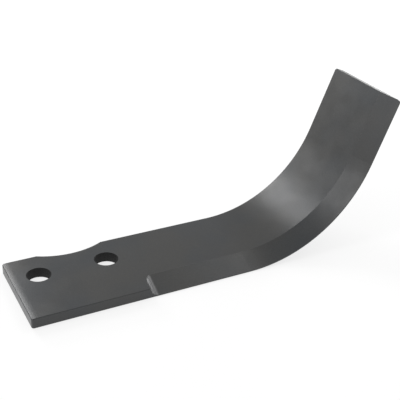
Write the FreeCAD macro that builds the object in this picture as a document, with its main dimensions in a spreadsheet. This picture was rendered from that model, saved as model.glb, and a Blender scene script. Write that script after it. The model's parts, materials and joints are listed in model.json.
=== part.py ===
import FreeCAD, Part
import math
import os
import Sketcher

# Rotary tiller blade: one flat steel bar, bent up towards its tip, with a two-bolt
# mounting end, a shallow scallop in its back edge and a one-sided bevelled cutting edge.
#
# Frame: the origin is midway between the two bolt holes, on the seating face (Z = 0).
# +X runs along the bar towards the tip, +Z points out of the seating face into the bar,
# and the cutting edge is on the -Y side. Lengths are in millimetres, angles in degrees.

SIZES = {
    # the flat bar
    "bar_width": 60.0,
    "bar_thickness": 6.5,
    "edge_radius": 0.5,
    "corner_radius": 1.5,
    # mounting end
    "hole_diameter": 14.5,
    "hole_spacing": 42.0,
    "hole_to_end": 16.5,
    "hole_to_back": 20.0,
    "rolloff_width": 4.0,
    "rolloff_depth": 0.25,
    # scallop in the back edge
    "scallop_depth": 5.5,
    "scallop_radius": 44.0,
    "scallop_offset": 4.2,
    # bend and tip
    "flat_reach": 100.0,
    "bend_radius": 82.0,
    "bend_angle": 69.0,
    "tip_length": 43.0,
    "tip_corner_radius": 2.0,
    # bevelled cutting edge
    "bevel_start": 38.2,
    "bevel_width": 13.4,
    "edge_land": 1.0,
    "runout_radius": 5.5,
    # how far the cutting tools run past the bar
    "tool_overrun": 3.0,
}

NODE = "tiller_blade"

# The sketcher's numbers for a curve's points, and for the sketch's own X axis.
START, END, CENTRE = range(1, 4)
X_AXIS = -1
ORIGIN = (X_AXIS, START)
UP = FreeCAD.Vector(0, 0, 1)
DOWNWARD = -math.pi / 2


def make_sheet(doc):
    """The driving dimensions, one row each, every value under its own alias."""
    sheet = doc.addObject("Spreadsheet::Sheet", "Sizes")
    for row, (name, value) in enumerate(SIZES.items(), start=1):
        sheet.set("A%d" % row, name)
        sheet.set("B%d" % row, str(value))
        sheet.setAlias("B%d" % row, name)
    doc.recompute()
    return sheet


# ---- sketching ----------------------------------------------------------------------


def new_sketch(body, name, role, height=None):
    """A sketch on one of the body's origin planes, lifted off it by an expression."""
    plane = next(item for item in body.Origin.OriginFeatures if item.Role == role)
    sketch = body.newObject("Sketcher::SketchObject", name)
    sketch.AttachmentSupport = [(plane, "")]
    sketch.MapMode = "FlatFace"
    if height is not None:
        sketch.setExpression("AttachmentOffset.Base.z", height)
    return sketch


def point(x, y):
    return FreeCAD.Vector(x, y, 0)


def line(first, second):
    return Part.LineSegment(first, second)


def arc(centre, radius, begin, sweep):
    return Part.ArcOfCircle(Part.Circle(centre, UP, radius), begin, begin + sweep)


def tie(sketch, kind, *refs):
    """Add one geometric constraint."""
    return sketch.addConstraint(Sketcher.Constraint(kind, *refs))


def dimension(sketch, name, formula, kind, *refs):
    """Add one named dimension and bind it to the sheet. The last of refs is its value."""
    sketch.renameConstraint(tie(sketch, kind, *refs), name)
    sketch.setExpression("Constraints." + name, formula)


# ---- the bent bar -------------------------------------------------------------------


class Bend:
    """Points of the bend, seen from the side: x along the bar, y up from the seat."""

    def __init__(self, size):
        turn = math.radians(size["bend_angle"])
        self.turn = turn
        self.along = point(math.cos(turn), math.sin(turn))
        self.across = point(-math.sin(turn), math.cos(turn))
        self.inner_radius = size["bend_radius"]
        self.outer_radius = size["bend_radius"] + size["bar_thickness"]
        self.centre = point(size["flat_reach"], self.outer_radius)
        self.inner_end = self.centre - self.across * self.inner_radius
        self.outer_end = self.centre - self.across * self.outer_radius


def side_profile(body, size):
    """Section along the bar: flat mounting end, bend and straight tip, one thickness."""
    bend = Bend(size)
    thick = size["bar_thickness"]
    mount_x = -size["hole_spacing"] / 2 - size["hole_to_end"]
    bend_x = size["flat_reach"]
    reach = bend.along * size["tip_length"]

    sketch = new_sketch(body, "SideProfile", "XZ_Plane", "-Sizes.hole_to_back")
    seat, outer_bend, tip_back, tip_end, tip_face, inner_bend, top, mount_end = range(8)
    sketch.addGeometry([
        line(point(mount_x, 0), point(bend_x, 0)),
        arc(bend.centre, bend.outer_radius, DOWNWARD, bend.turn),
        line(bend.outer_end, bend.outer_end + reach),
        line(bend.outer_end + reach, bend.inner_end + reach),
        line(bend.inner_end + reach, bend.inner_end),
        arc(bend.centre, bend.inner_radius, DOWNWARD, bend.turn),
        line(point(bend_x, thick), point(mount_x, thick)),
        line(point(mount_x, thick), point(mount_x, 0)),
    ], False)

    tie(sketch, "Tangent", seat, END, outer_bend, START)
    tie(sketch, "Tangent", outer_bend, END, tip_back, START)
    tie(sketch, "Coincident", tip_back, END, tip_end, START)
    tie(sketch, "Coincident", tip_end, END, tip_face, START)
    tie(sketch, "Tangent", tip_face, END, inner_bend, END)
    tie(sketch, "Tangent", inner_bend, START, top, START)
    tie(sketch, "Coincident", top, END, mount_end, START)
    tie(sketch, "Coincident", mount_end, END, seat, START)
    tie(sketch, "Coincident", outer_bend, CENTRE, inner_bend, CENTRE)
    tie(sketch, "Horizontal", seat)
    tie(sketch, "Horizontal", top)
    tie(sketch, "Vertical", mount_end)
    tie(sketch, "Parallel", tip_back, tip_face)
    tie(sketch, "Perpendicular", tip_back, tip_end)
    tie(sketch, "PointOnObject", seat, END, X_AXIS)
    dimension(sketch, "mount_reach", "Sizes.hole_spacing / 2 + Sizes.hole_to_end",
              "DistanceX", seat, START, *ORIGIN, -mount_x)
    dimension(sketch, "flat_reach", "Sizes.flat_reach",
              "DistanceX", *ORIGIN, seat, END, bend_x)
    dimension(sketch, "thickness", "Sizes.bar_thickness",
              "DistanceY", seat, START, top, END, thick)
    dimension(sketch, "bend_radius", "Sizes.bend_radius",
              "Radius", inner_bend, bend.inner_radius)
    dimension(sketch, "bend_angle", "Sizes.bend_angle * 1 deg",
              "Angle", *ORIGIN, tip_back, START, bend.turn)
    dimension(sketch, "tip_length", "Sizes.tip_length",
              "Distance", tip_face, size["tip_length"])
    return sketch


def bent_bar(body, size):
    """The bar at full width, from its back edge to its cutting edge."""
    pad = body.newObject("PartDesign::Pad", "BentBar")
    pad.Profile = side_profile(body, size)
    pad.setExpression("Length", "Sizes.bar_width")
    return pad


def shear_rolloff(body, size):
    """Slight droop of the upper face towards the mounting end, as shearing the bar leaves it."""
    width = size["rolloff_width"]
    depth = size["rolloff_depth"]
    thick = size["bar_thickness"]
    over = size["tool_overrun"]
    radius = (width ** 2 + depth ** 2) / (2 * depth)
    end_x = -size["hole_spacing"] / 2 - size["hole_to_end"]
    sweep = math.asin((width + over) / radius)
    centre = point(end_x + width, thick - radius)
    droop = arc(centre, radius, math.pi / 2, sweep)
    low = droop.EndPoint
    lid_y = thick + over
    sketch = new_sketch(body, "RolloffSection", "XZ_Plane", "-Sizes.hole_to_back")
    curve, far_side, lid, near_side = range(4)
    sketch.addGeometry([
        droop,
        line(low, point(low.x, lid_y)),
        line(point(low.x, lid_y), point(centre.x, lid_y)),
        line(point(centre.x, lid_y), point(centre.x, thick)),
    ], False)
    tie(sketch, "Coincident", curve, END, far_side, START)
    tie(sketch, "Coincident", far_side, END, lid, START)
    tie(sketch, "Coincident", lid, END, near_side, START)
    tie(sketch, "Perpendicular", near_side, END, curve, START)
    tie(sketch, "Vertical", far_side)
    tie(sketch, "Vertical", near_side)
    tie(sketch, "Horizontal", lid)
    dimension(sketch, "radius",
              "(Sizes.rolloff_width ^ 2 + Sizes.rolloff_depth ^ 2) / (2 * Sizes.rolloff_depth)",
              "Radius", curve, radius)
    dimension(sketch, "reach",
              "Sizes.hole_spacing / 2 + Sizes.hole_to_end - Sizes.rolloff_width",
              "DistanceX", curve, START, *ORIGIN, -centre.x)
    dimension(sketch, "thickness", "Sizes.bar_thickness",
              "DistanceY", *ORIGIN, curve, START, thick)
    dimension(sketch, "overrun_out", "Sizes.rolloff_width + Sizes.tool_overrun",
              "DistanceX", curve, END, curve, START, width + over)
    dimension(sketch, "overrun_up", "Sizes.tool_overrun",
              "DistanceY", curve, START, lid, START, over)
    pocket = body.newObject("PartDesign::Pocket", "ShearRolloff")
    pocket.Profile = sketch
    pocket.Reversed = True
    pocket.setExpression("Length", "Sizes.bar_width")
    return pocket


def sharp_edges(shape):
    """Number and curve of each edge where two faces meet at a real corner."""
    least_turn = math.radians(30)
    found = []
    for number, edge in enumerate(shape.Edges, start=1):
        middle = edge.valueAt((edge.FirstParameter + edge.LastParameter) / 2)
        normals = [face.normalAt(*face.Surface.parameter(middle))
                   for face in shape.ancestorsOfType(edge, Part.Face)]
        if len(normals) == 2 and normals[0].getAngle(normals[1]) > least_turn:
            found.append((number, edge))
    return found


def plan_corners(shape, size):
    """Number and middle of each sharp edge that runs through the bar's thickness."""
    return [(number, edge.CenterOfMass) for number, edge in sharp_edges(shape)
            if isinstance(edge.Curve, Part.Line) and edge.Length < 2 * size["bar_thickness"]]


def round_edges(doc, body, name, numbers, radius):
    """Fillet the numbered edges of the body as it stands."""
    base = body.Tip
    fillet = body.newObject("PartDesign::Fillet", name)
    fillet.Base = (base, ["Edge%d" % number for number in numbers])
    fillet.setExpression("Radius", radius)
    doc.recompute()
    return fillet


def rounded_bar(doc, body, size):
    """Round the four corners of the outline, then both rims as on a rolled bar."""
    plain = [number for number, middle in plan_corners(body.Shape, size)
             if middle.x < size["flat_reach"] or middle.y > 0]
    round_edges(doc, body, "PlanCorners", plain, "Sizes.corner_radius")
    worn = [number for number, middle in plan_corners(body.Shape, size)]
    round_edges(doc, body, "TipCorner", worn, "Sizes.tip_corner_radius")
    rims = [number for number, edge in sharp_edges(body.Shape)]
    round_edges(doc, body, "RolledRims", rims, "Sizes.edge_radius")


# ---- cuts from the seating face -----------------------------------------------------


def through_pocket(body, name, sketch):
    """Cut straight up through the flat of the bar."""
    pocket = body.newObject("PartDesign::Pocket", name)
    pocket.Profile = sketch
    pocket.Reversed = True
    pocket.setExpression("Length", "Sizes.bar_thickness + Sizes.tool_overrun")
    return pocket


def bolt_holes(body, size):
    """Two equal through holes, one each side of the origin."""
    half = size["hole_spacing"] / 2
    radius = size["hole_diameter"] / 2
    sketch = new_sketch(body, "HoleOutlines", "XY_Plane")
    outer, inner = range(2)
    sketch.addGeometry([
        Part.Circle(point(-half, 0), UP, radius),
        Part.Circle(point(half, 0), UP, radius),
    ], False)
    tie(sketch, "Symmetric", outer, CENTRE, inner, CENTRE, *ORIGIN)
    tie(sketch, "PointOnObject", outer, CENTRE, X_AXIS)
    tie(sketch, "Equal", outer, inner)
    dimension(sketch, "spacing", "Sizes.hole_spacing",
              "DistanceX", outer, CENTRE, inner, CENTRE, 2 * half)
    dimension(sketch, "diameter", "Sizes.hole_diameter",
              "Diameter", outer, 2 * radius)
    return through_pocket(body, "BoltHoles", sketch)


def scallop(body, size):
    """Shallow round notch punched into the back edge beside the holes."""
    radius = size["scallop_radius"]
    floor = size["hole_to_back"] - size["scallop_depth"]
    centre = point(size["scallop_offset"], floor + radius)
    sketch = new_sketch(body, "ScallopOutline", "XY_Plane")
    sketch.addGeometry(Part.Circle(centre, UP, radius), False)
    dimension(sketch, "radius", "Sizes.scallop_radius",
              "Radius", 0, radius)
    dimension(sketch, "offset", "Sizes.scallop_offset",
              "DistanceX", *ORIGIN, 0, CENTRE, centre.x)
    dimension(sketch, "height", "Sizes.hole_to_back - Sizes.scallop_depth + Sizes.scallop_radius",
              "DistanceY", *ORIGIN, 0, CENTRE, centre.y)
    return through_pocket(body, "Scallop", sketch)


# ---- the cutting edge ---------------------------------------------------------------


def bevel_path(body, size):
    """Line along the inner face, from the start of the bevel to past the tip."""
    bend = Bend(size)
    thick = size["bar_thickness"]
    length = size["tip_length"] + size["tool_overrun"]
    bend_start = point(size["flat_reach"], thick)
    sketch = new_sketch(body, "BevelPath", "XZ_Plane")
    flat, curve, straight = range(3)
    sketch.addGeometry([
        line(point(size["bevel_start"], thick), bend_start),
        arc(bend.centre, bend.inner_radius, DOWNWARD, bend.turn),
        line(bend.inner_end, bend.inner_end + bend.along * length),
    ], False)
    tie(sketch, "Tangent", flat, END, curve, START)
    tie(sketch, "Tangent", curve, END, straight, START)
    tie(sketch, "Horizontal", flat)
    dimension(sketch, "bevel_start", "Sizes.bevel_start",
              "DistanceX", *ORIGIN, flat, START, size["bevel_start"])
    dimension(sketch, "flat_reach", "Sizes.flat_reach",
              "DistanceX", *ORIGIN, flat, END, bend_start.x)
    dimension(sketch, "thickness", "Sizes.bar_thickness",
              "DistanceY", *ORIGIN, flat, START, thick)
    dimension(sketch, "bend_radius", "Sizes.bend_radius",
              "Radius", curve, bend.inner_radius)
    dimension(sketch, "bend_angle", "Sizes.bend_angle * 1 deg",
              "Angle", *ORIGIN, straight, START, bend.turn)
    dimension(sketch, "length", "Sizes.tip_length + Sizes.tool_overrun",
              "Distance", straight, length)
    return sketch


def bevel_section(body, size):
    """What the bevel takes off: a wedge that leaves a thin land at the cutting edge."""
    thick = size["bar_thickness"]
    land = size["edge_land"]
    over = size["tool_overrun"]
    edge_y = size["hole_to_back"] - size["bar_width"]
    slope = (thick - land) / size["bevel_width"]
    crease = point(edge_y + size["bevel_width"], thick)
    below = point(edge_y - over, land - slope * over)
    above = point(edge_y - over, thick + over)
    sketch = new_sketch(body, "BevelSection", "YZ_Plane", "Sizes.bevel_start")
    slant, side, lid, lip = range(4)
    sketch.addGeometry([line(crease, below), line(below, above), line(above, crease)], False)
    sketch.addGeometry(Part.Point(point(edge_y, land)), True)
    tie(sketch, "Coincident", slant, END, side, START)
    tie(sketch, "Coincident", side, END, lid, START)
    tie(sketch, "Coincident", lid, END, slant, START)
    tie(sketch, "Vertical", side)
    tie(sketch, "PointOnObject", lip, START, slant)
    dimension(sketch, "edge", "Sizes.bar_width - Sizes.hole_to_back",
              "DistanceX", lip, START, *ORIGIN, -edge_y)
    dimension(sketch, "land", "Sizes.edge_land",
              "DistanceY", *ORIGIN, lip, START, land)
    dimension(sketch, "width", "Sizes.bevel_width",
              "DistanceX", lip, START, slant, START, size["bevel_width"])
    dimension(sketch, "thickness", "Sizes.bar_thickness",
              "DistanceY", *ORIGIN, slant, START, thick)
    dimension(sketch, "overrun_out", "Sizes.tool_overrun",
              "DistanceX", side, START, lip, START, over)
    dimension(sketch, "overrun_up", "Sizes.tool_overrun",
              "DistanceY", slant, START, lid, START, over)
    return sketch


def cutting_bevel(body, size):
    """The wedge swept along the inner face, through the flat, the bend and the tip."""
    path = bevel_path(body, size)
    pipe = body.newObject("PartDesign::SubtractivePipe", "CuttingBevel")
    pipe.Profile = bevel_section(body, size)
    pipe.Spine = (path, ["Edge1", "Edge2", "Edge3"])
    return pipe


def bevel_runout(body, size):
    """Round run-out at the bevel's mounting end, as a round cutter leaves it."""
    radius = size["runout_radius"]
    wall = size["bar_thickness"] + size["tool_overrun"]
    centre = point(size["bevel_start"], size["bar_thickness"] + radius)
    left = point(centre.x - radius, centre.y)
    right = point(centre.x + radius, centre.y)
    up = point(0, wall)
    sketch = new_sketch(body, "RunoutSection", "XZ_Plane",
                        "Sizes.bar_width - Sizes.hole_to_back - Sizes.bevel_width")
    round_end, far_side, lid, near_side = range(4)
    sketch.addGeometry([
        arc(centre, radius, math.pi, math.pi),
        line(right, right + up),
        line(right + up, left + up),
        line(left + up, left),
    ], False)
    tie(sketch, "Tangent", round_end, END, far_side, START)
    tie(sketch, "Coincident", far_side, END, lid, START)
    tie(sketch, "Coincident", lid, END, near_side, START)
    tie(sketch, "Tangent", near_side, END, round_end, START)
    tie(sketch, "Vertical", near_side)
    tie(sketch, "Horizontal", lid)
    dimension(sketch, "radius", "Sizes.runout_radius",
              "Radius", round_end, radius)
    dimension(sketch, "bevel_start", "Sizes.bevel_start",
              "DistanceX", *ORIGIN, round_end, CENTRE, centre.x)
    dimension(sketch, "height", "Sizes.bar_thickness + Sizes.runout_radius",
              "DistanceY", *ORIGIN, round_end, CENTRE, centre.y)
    dimension(sketch, "wall", "Sizes.bar_thickness + Sizes.tool_overrun",
              "DistanceY", round_end, CENTRE, far_side, END, wall)
    pocket = body.newObject("PartDesign::Pocket", "BevelRunout")
    pocket.Profile = sketch
    pocket.UseCustomVector = True
    pocket.setExpression(
        "Direction", "vector(0; -Sizes.bevel_width; Sizes.edge_land - Sizes.bar_thickness)")
    pocket.AlongSketchNormal = True
    pocket.setExpression("Length", "Sizes.bevel_width + Sizes.tool_overrun")
    return pocket


# ---- the whole blade ----------------------------------------------------------------


def cut(doc, body, make, size):
    """Add one cut, and make sure that it took something off."""
    before = body.Shape.Volume
    feature = make(body, size)
    doc.recompute()
    taken = before - body.Shape.Volume
    print("%-13s took off %7.1f mm3" % (feature.Name, taken))
    if taken <= 0:
        raise RuntimeError(feature.Name + " cut nothing")


def tiller_blade(doc, size):
    body = doc.addObject("PartDesign::Body", "Blade")
    body.Label = NODE
    bent_bar(body, size)
    doc.recompute()
    cut(doc, body, shear_rolloff, size)
    rounded_bar(doc, body, size)
    for make in (bolt_holes, scallop, cutting_bevel, bevel_runout):
        cut(doc, body, make, size)
    return body


def check(doc, bodies):
    """Stop on a failed feature, or on a body that isn't one sound solid."""
    for item in doc.Objects:
        if "Invalid" in item.State or "Error" in item.State:
            raise RuntimeError("%s failed: %s" % (item.Name, item.State))
    for body in bodies:
        shape = body.Shape
        if shape.isNull() or not shape.isValid() or len(shape.Solids) != 1:
            raise RuntimeError(body.Label + " isn't one valid solid")


def main():
    doc = FreeCAD.newDocument("TillerBlade")
    sheet = make_sheet(doc)
    size = {name: float(sheet.get(name)) for name in SIZES}
    bodies = [tiller_blade(doc, size)]
    doc.recompute()
    check(doc, bodies)
    os.makedirs("parts", exist_ok=True)
    for body in bodies:
        solid = body.Shape.Solids[0]
        solid.exportStep(os.path.join("parts", body.Label + ".step"))
        middle = solid.CenterOfMass
        print("%s: %.0f mm3, centre of mass at %.1f, %.1f, %.1f" % (
            body.Label, solid.Volume, middle.x, middle.y, middle.z))


main()
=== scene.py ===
import json
import math

import bpy
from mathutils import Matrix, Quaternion, Vector


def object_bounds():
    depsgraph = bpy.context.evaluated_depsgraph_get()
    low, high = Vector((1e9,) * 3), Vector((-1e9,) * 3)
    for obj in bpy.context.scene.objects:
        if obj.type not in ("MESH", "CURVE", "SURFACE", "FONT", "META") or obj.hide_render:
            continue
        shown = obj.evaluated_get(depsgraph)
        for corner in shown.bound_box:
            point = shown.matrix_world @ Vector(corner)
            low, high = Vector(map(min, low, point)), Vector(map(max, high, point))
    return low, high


# Rotary tiller blade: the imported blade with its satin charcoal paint, on a pale studio floor.
# Everything is in metres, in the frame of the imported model: +X towards the bent tip,
# +Z out of the seating face, the cutting edge on the -Y side.

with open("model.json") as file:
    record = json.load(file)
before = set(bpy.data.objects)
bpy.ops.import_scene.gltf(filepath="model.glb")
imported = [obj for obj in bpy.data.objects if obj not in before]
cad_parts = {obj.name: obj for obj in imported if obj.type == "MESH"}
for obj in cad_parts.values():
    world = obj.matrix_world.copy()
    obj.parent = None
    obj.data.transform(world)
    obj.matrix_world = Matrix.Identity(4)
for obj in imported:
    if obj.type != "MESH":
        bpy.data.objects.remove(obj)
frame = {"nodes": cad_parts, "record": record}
cad_low, cad_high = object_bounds()
centre = (cad_low + cad_high) / 2

BLADE = "tiller_blade"


# ---- node helpers -------------------------------------------------------------------


class Nodes:
    """A short way to write a node tree: make a node, set its inputs, link its sockets."""

    def __init__(self, tree):
        self.tree = tree
        tree.nodes.clear()

    def add(self, kind, settings=None, **inputs):
        node = self.tree.nodes.new(kind)
        for name, value in (settings or {}).items():
            setattr(node, name, value)
        for name, value in inputs.items():
            number = name[1:]
            self.put(node, int(number) if number.isdigit() else name.replace("_", " "), value)
        return node

    def put(self, node, name, value):
        """Set an input to a number or a colour, or link it to another node's output."""
        if isinstance(value, bpy.types.NodeSocket):
            self.tree.links.new(value, node.inputs[name])
        else:
            node.inputs[name].default_value = value


def math_node(n, operation, first, second=0.0):
    return n.add("ShaderNodeMath", {"operation": operation}, _0=first, _1=second).outputs[0]


def grey(level):
    return (level, level, level, 1.0)


# ---- camera -------------------------------------------------------------------------


def make_camera(azimuth, elevation, roll, distance, aim, lens):
    """Azimuth 0 looks along +Y, and 90 along -X. Angles in degrees, the lens in mm."""
    turn, lift = math.radians(azimuth), math.radians(elevation)
    back = Vector((math.sin(turn) * math.cos(lift), -math.cos(turn) * math.cos(lift), math.sin(lift)))
    data = bpy.data.cameras.new("camera")
    data.lens = lens
    data.clip_start = 0.01
    camera = bpy.data.objects.new("camera", data)
    camera.rotation_mode = "QUATERNION"
    camera.rotation_quaternion = (-back).to_track_quat("-Z", "Y") @ Quaternion((0, 0, 1), math.radians(roll))
    camera.location = aim + back * distance
    bpy.context.scene.collection.objects.link(camera)
    bpy.context.scene.camera = camera


make_camera(azimuth=-28.39, elevation=28.51, roll=2.41, distance=0.4847,
            aim=centre + Vector((-0.0034, -0.0031, -0.0080)), lens=72.55)


# ---- paint --------------------------------------------------------------------------

COOL_PAINT = (0.0480, 0.0515, 0.0550, 1.0)
WARM_PAINT = (0.0550, 0.0550, 0.0535, 1.0)
# rims: partly rubbed paint, partly a painted edge highlight
RIM_WEAR_AND_HIGHLIGHT_PAINT = (0.1250, 0.1260, 0.1270, 1.0)
# painted reflection on the bevel in the bend
BEVEL_PAINTED_REFLECTION = (0.0950, 0.0960, 0.0980, 1.0)
# painted highlight on the run-out slope
RUNOUT_PAINTED_HIGHLIGHT = (0.1450, 0.1460, 0.1500, 1.0)
# painted shade inside the bolt holes
HOLE_PAINTED_SHADE = (0.0100, 0.0100, 0.0105, 1.0)


# how many times each texture repeats in a metre
CLOUDS = 26.0
WAVES = 45.0
SHEEN_PATCHES = 90.0
WORN_PATCHES = 260.0
PEEL = 800.0
GRINDING = 1300.0
GRAIN = 1500.0

# metres
RIM_WIDTH = 0.0006
DROOP_WIDTH = 0.022
DROOP_DEPTH = 0.0006
WAVE_DEPTH = 0.00004
PEEL_DEPTH = 0.000006
GRINDING_DEPTH = 0.000008
BEVEL_REFLECTION_HEIGHTS = (0.012, 0.045)

# shares of the lighter paint (rubbed rims with a painted edge highlight, and the painted reflection on the
# bevel), and what is added to the roughness
RIM_WEAR_AND_HIGHLIGHT = 0.35
BEVEL_REFLECTION_SHARE = 0.30
BEVEL_ROUGHER = 0.02
HOLE_ROUGHER = 0.40


def scaled(n, place, x, y, z):
    """The place stretched along each axis, so that noise on it becomes streaks."""
    return n.add("ShaderNodeVectorMath", {"operation": "MULTIPLY"}, _0=place, _1=(x, y, z)).outputs[0]


def noise(n, place, scale, detail=2.0, roughness=0.5):
    return n.add("ShaderNodeTexNoise", Vector=place, Scale=scale, Detail=detail,
                 Roughness=roughness).outputs["Fac"]


def remap(n, value, low, high, to_low=0.0, to_high=1.0):
    """Value from low..high to to_low..to_high, clamped."""
    return n.add("ShaderNodeMapRange", Value=value, From_Min=low, From_Max=high,
                 To_Min=to_low, To_Max=to_high).outputs["Result"]


def blended(n, share, first, second, how="MIX"):
    """Colour between first and second."""
    node = n.add("ShaderNodeMix", {"data_type": "RGBA", "blend_type": how})
    n.put(node, "Factor", share)
    n.put(node, 6, first)
    n.put(node, 7, second)
    return node.outputs[2]


def bevel_mask(n, normal):
    """1 on the bevelled cutting edge, whose normal leans the same way all along the blade."""
    lean = n.add("ShaderNodeSeparateXYZ", Vector=normal).outputs["Y"]
    leaning = remap(n, lean, -0.28, -0.34)
    not_side = remap(n, lean, -0.60, -0.50)
    return math_node(n, "MULTIPLY", leaning, not_side)


def runout_mask(n, place, normal):
    """1 on the short slope where the bevel begins, the only flat there that faces the tip."""
    faces = n.add("ShaderNodeSeparateXYZ", Vector=normal)
    towards_tip = remap(n, faces.outputs["X"], 0.10, 0.15)
    upward = remap(n, faces.outputs["Z"], 0.25, 0.35)
    x = n.add("ShaderNodeSeparateXYZ", Vector=place).outputs["X"]
    before_bend = remap(n, x, centre.x, centre.x - 0.001)
    return math_node(n, "MULTIPLY", math_node(n, "MULTIPLY", towards_tip, upward), before_bend)


def sheared_end(n, place):
    """Height of the upper face near the mounting end: it droops softly towards the sheared edge."""
    x = n.add("ShaderNodeSeparateXYZ", Vector=place).outputs["X"]
    near = remap(n, x, cad_low.x + DROOP_WIDTH, cad_low.x)
    return math_node(n, "MULTIPLY", near, near)


def rim_mask(n, normal, width):
    """1 on sharp rims, 0 on open faces."""
    soft = n.add("ShaderNodeBevel", {"samples": 6}, Radius=width).outputs["Normal"]
    aligned = n.add("ShaderNodeVectorMath", {"operation": "DOT_PRODUCT"}, _0=soft, _1=normal).outputs["Value"]
    return remap(n, aligned, 0.995, 0.90)


def hole_mask(n, place):
    """1 on the walls of the two bolt holes."""
    walls = None
    for mount in frame["record"]["mounts"]:
        if mount["kind"] != "bore":
            continue
        x, y = mount["pos_m"][:2]
        offset = n.add("ShaderNodeVectorMath", {"operation": "SUBTRACT"}, _0=place, _1=(x, y, 0)).outputs[0]
        flat = n.add("ShaderNodeVectorMath", {"operation": "MULTIPLY"}, _0=offset, _1=(1, 1, 0)).outputs[0]
        away = n.add("ShaderNodeVectorMath", {"operation": "LENGTH"}, _0=flat).outputs["Value"]
        radius = mount["dims"]["r_mm"] / 1000
        inside = remap(n, away, radius + 0.0003, radius + 0.0001)
        walls = inside if walls is None else math_node(n, "MAXIMUM", walls, inside)
    return walls


def satin_paint():
    """Charcoal paint over rolled steel: cloudy tone, fine orange peel, rims painted a little lighter (rubbed
    paint with a painted edge highlight), cross-ground streaks on the bevel with a painted reflection in the
    bend, a painted highlight on the run-out slope, and coarse punched walls in the holes painted near black
    as painted shade."""
    material = bpy.data.materials.new("satin_charcoal_paint")
    material.use_nodes = True
    n = Nodes(material.node_tree)
    place = n.add("ShaderNodeTexCoord").outputs["Object"]
    normal = n.add("ShaderNodeNewGeometry").outputs["Normal"]
    bevel = bevel_mask(n, normal)
    runout = runout_mask(n, place, normal)
    holes = hole_mask(n, place)

    clouds = remap(n, noise(n, place, CLOUDS, 3.0), 0.38, 0.62)
    colour = blended(n, clouds, COOL_PAINT, WARM_PAINT)
    grain = remap(n, noise(n, place, GRAIN, 2.0, 0.6), 0.35, 0.65, 0.90, 1.10)
    colour = blended(n, 1.0, colour, grain, "MULTIPLY")
    # rims painted lighter: partly rubbed paint, partly a painted edge highlight
    patchy = remap(n, noise(n, place, WORN_PATCHES, 3.0, 0.6), 0.42, 0.62)
    rim_wear_and_highlight = math_node(n, "MULTIPLY", rim_mask(n, normal, RIM_WIDTH), patchy)
    rim_wear_and_highlight = math_node(n, "MULTIPLY", rim_wear_and_highlight, RIM_WEAR_AND_HIGHLIGHT)
    colour = blended(n, rim_wear_and_highlight, colour, RIM_WEAR_AND_HIGHLIGHT_PAINT)
    # painted reflection: the bevel is painted lighter from the bend up to the tip
    height = n.add("ShaderNodeSeparateXYZ", Vector=place).outputs["Z"]
    bevel_reflection = math_node(n, "MULTIPLY", remap(n, height, *BEVEL_REFLECTION_HEIGHTS), bevel)
    colour = blended(n, math_node(n, "MULTIPLY", bevel_reflection, BEVEL_REFLECTION_SHARE), colour, BEVEL_PAINTED_REFLECTION)
    # painted highlight: the run-out slope is painted lighter
    colour = blended(n, runout, colour, RUNOUT_PAINTED_HIGHLIGHT)
    # painted shade: the hole walls are painted near black
    colour = blended(n, holes, colour, HOLE_PAINTED_SHADE)

    streaks = noise(n, scaled(n, place, 1.0, 0.03, 1.0), GRINDING, 2.0, 0.6)
    sheen = remap(n, noise(n, place, SHEEN_PATCHES, 3.0), 0.35, 0.65, 0.28, 0.34)
    sheen = math_node(n, "ADD", sheen, math_node(n, "MULTIPLY", bevel, BEVEL_ROUGHER))
    sheen = math_node(n, "ADD", sheen, math_node(n, "MULTIPLY", holes, HOLE_ROUGHER))

    ground = math_node(n, "MULTIPLY", streaks, math_node(n, "MAXIMUM", bevel, runout))
    bumps = (
        (sheared_end(n, place), -DROOP_DEPTH),
        (noise(n, place, WAVES, 2.0, 0.4), WAVE_DEPTH),
        (noise(n, place, PEEL, 2.0, 0.5), PEEL_DEPTH),
        (ground, GRINDING_DEPTH),
    )
    bump = normal
    for relief, depth in bumps:
        bump = n.add("ShaderNodeBump", Strength=1.0, Distance=depth, Height=relief,
                     Normal=bump).outputs["Normal"]

    shader = n.add("ShaderNodeBsdfPrincipled", Base_Color=colour, Roughness=sheen, Normal=bump)
    n.add("ShaderNodeOutputMaterial", Surface=shader.outputs["BSDF"])
    return material


blade = frame["nodes"][BLADE]
blade.data.materials.clear()
blade.data.materials.append(satin_paint())


# ---- floor, world and lamps ---------------------------------------------------------


FLOOR_COLOUR = 0.8
FLOOR_SEEN_COLOUR = 0.3
FLOOR_GLOW = 0.75
WORLD_LIGHT = 0.48


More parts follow.
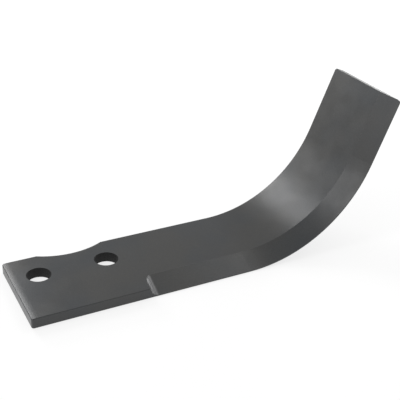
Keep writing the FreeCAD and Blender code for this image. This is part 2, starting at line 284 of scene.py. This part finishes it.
def make_floor(size=20.0, gap=0.00005):
    """Pale floor. The camera and glossy rays see it white where nothing shades it."""
    mesh = bpy.data.meshes.new("floor")
    half = size / 2
    level = cad_low.z - gap
    corners = [(x * half, y * half, level) for x, y in ((-1, -1), (1, -1), (1, 1), (-1, 1))]
    mesh.from_pydata(corners, [], [(0, 1, 2, 3)])
    floor = bpy.data.objects.new("floor", mesh)
    bpy.context.scene.collection.objects.link(floor)
    material = bpy.data.materials.new("floor")
    material.use_nodes = True
    n = Nodes(material.node_tree)
    path = n.add("ShaderNodeLightPath").outputs
    seen = math_node(n, "MAXIMUM", path["Is Camera Ray"], path["Is Glossy Ray"])
    seen = math_node(n, "MAXIMUM", seen, path["Is Transmission Ray"])
    pale = n.add("ShaderNodeBsdfDiffuse", Color=grey(FLOOR_COLOUR))
    tint = n.add("ShaderNodeBsdfDiffuse", Color=grey(FLOOR_SEEN_COLOUR))
    glow = n.add("ShaderNodeEmission", Color=grey(1.0), Strength=FLOOR_GLOW)
    white = n.add("ShaderNodeAddShader")
    n.put(white, 0, tint.outputs[0])
    n.put(white, 1, glow.outputs[0])
    mix = n.add("ShaderNodeMixShader")
    n.put(mix, 0, seen)
    n.put(mix, 1, pale.outputs[0])
    n.put(mix, 2, white.outputs[0])
    n.add("ShaderNodeOutputMaterial", Surface=mix.outputs[0])
    material.cycles.emission_sampling = "NONE"
    mesh.materials.append(material)


def make_world(strength):
    world = bpy.data.worlds.new("studio")
    world.use_nodes = True
    n = Nodes(world.node_tree)
    light = n.add("ShaderNodeBackground", Color=grey(1.0), Strength=strength)
    n.add("ShaderNodeOutputWorld", Surface=light.outputs[0])
    bpy.context.scene.world = world


def make_lamp(name, azimuth, elevation, distance, width, height, power):
    """Softbox that faces the middle of the blade. Azimuth 0 is behind it, along +Y."""
    turn, lift = math.radians(azimuth), math.radians(elevation)
    away = Vector((math.sin(turn) * math.cos(lift), math.cos(turn) * math.cos(lift), math.sin(lift)))
    data = bpy.data.lights.new(name, "AREA")
    data.shape = "RECTANGLE"
    data.size = width
    data.size_y = height
    data.energy = power
    lamp = bpy.data.objects.new(name, data)
    lamp.location = centre + away * distance
    lamp.rotation_mode = "QUATERNION"
    lamp.rotation_quaternion = (-away).to_track_quat("-Z", "Y")
    bpy.context.scene.collection.objects.link(lamp)


make_floor()
make_world(WORLD_LIGHT)
make_lamp("left", -94, 38, 1.0, 0.22, 0.66, 1.9)
make_lamp("back_low", -15, 14, 1.0, 0.35, 0.14, 2.8)
make_lamp("back", -13, 33, 1.0, 0.26, 0.36, 1.9)
make_lamp("right", 72, 50, 1.0, 0.40, 0.40, 1.2)
make_lamp("low_right", 67, 12, 1.0, 0.60, 0.30, 3.0)

bpy.context.scene.view_settings.view_transform = "Standard"
